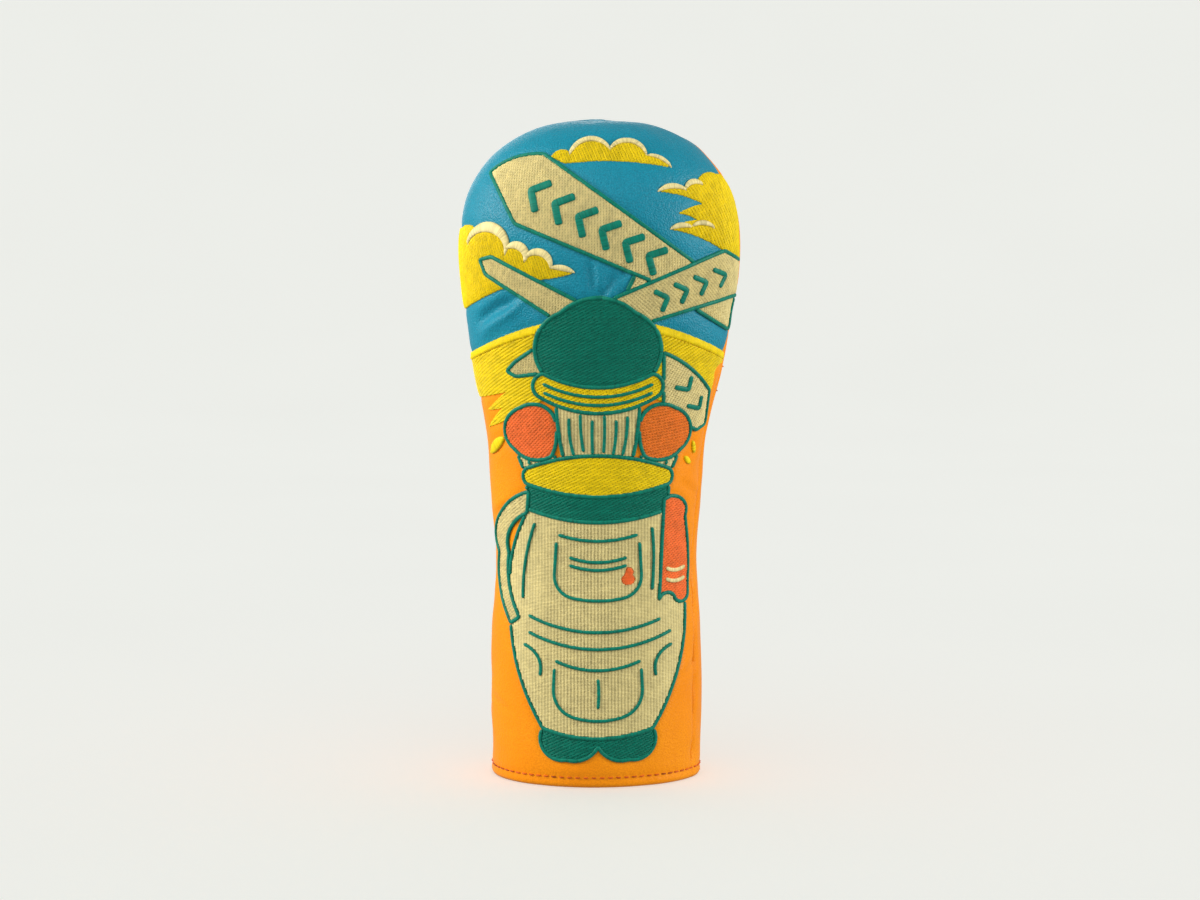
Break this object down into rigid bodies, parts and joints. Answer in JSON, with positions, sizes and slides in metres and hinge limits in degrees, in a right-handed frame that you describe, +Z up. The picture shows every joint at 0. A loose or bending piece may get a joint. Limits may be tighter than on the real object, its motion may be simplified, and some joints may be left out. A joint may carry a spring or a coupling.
{
  "type": "driver head cover",
  "caption": "Padded leather golf club head cover: domed crown over a long open sleeve, embroidered front, plain back, fleece lining.",
  "frame": {"origin": "on the surface it stands on, under the middle of the cover's bounding box, in the plane of the open hem", "axes": "+Z up through the crown, -Y out of the embroidered front, +X to the right of someone facing the front"},
  "size_m": [0.1464, 0.0984, 0.3401],
  "materials": {
    "blue_leather": "fine pebble grain, semi-gloss",
    "orange_leather": "fine grain, semi-gloss",
    "yellow_thread": "rayon embroidery thread",
    "cream_thread": "rayon embroidery thread",
    "green_thread": "rayon embroidery thread",
    "salmon_thread": "rayon embroidery thread",
    "amber_thread": "rayon embroidery thread",
    "sewing_thread": "bonded polyester thread",
    "backing": "tear-away non-woven, hidden",
    "foam": "open-cell foam, hidden",
    "fleece": "short pile fleece",
    "elastic": "woven elastic, hidden",
    "facing": "turned leather edge"
  },
  "bodies": {
    "root": {"back_lining": "fleece", "back_padding": "foam", "back_panel": "orange_leather", "bag_base_fill": "green_thread", "bag_body_fill": "cream_thread", "bag_collar_fill": "green_thread", "bag_detail_lines": "green_thread", "bag_outline": "green_thread", "bag_rim_fill": "yellow_thread", "board_arrows": "green_thread", "board_outline": "green_thread", "centre_cuff_fill": "yellow_thread", "centre_dome_fill": "green_thread", "centre_sock_fill": "cream_thread", "cloud_crests": "cream_thread", "club_cover_outline": "green_thread", "club_cover_ribs": "green_thread", "embroidery_backing": "backing", "front_crown_panel": "blue_leather", "front_lining": "fleece", "front_padding": "foam", "front_sleeve_panel": "orange_leather", "hem_facing": "facing", "hem_stitching": "sewing_thread", "horizon_edge": "yellow_thread", "horizon_fill": "yellow_thread", "left_board_fill": "cream_thread", "left_cloud_fill": "yellow_thread", "left_cover_fill": "salmon_thread", "light_flecks": "yellow_thread", "long_board_fill": "cream_thread", "low_board_fill": "cream_thread", "neck_elastic": "elastic", "neck_gather_stitching": "sewing_thread", "post_fill": "cream_thread", "right_board_fill": "cream_thread", "right_cloud_fill": "yellow_thread", "right_cover_fill": "amber_thread", "side_seam_stitching": "sewing_thread", "side_sock_fill": "cream_thread", "strap_fill": "cream_thread", "top_cloud_fill": "yellow_thread", "towel_fill": "salmon_thread", "towel_stripes": "cream_thread", "zip_pull": "salmon_thread"}
  },
  "joints": []
}
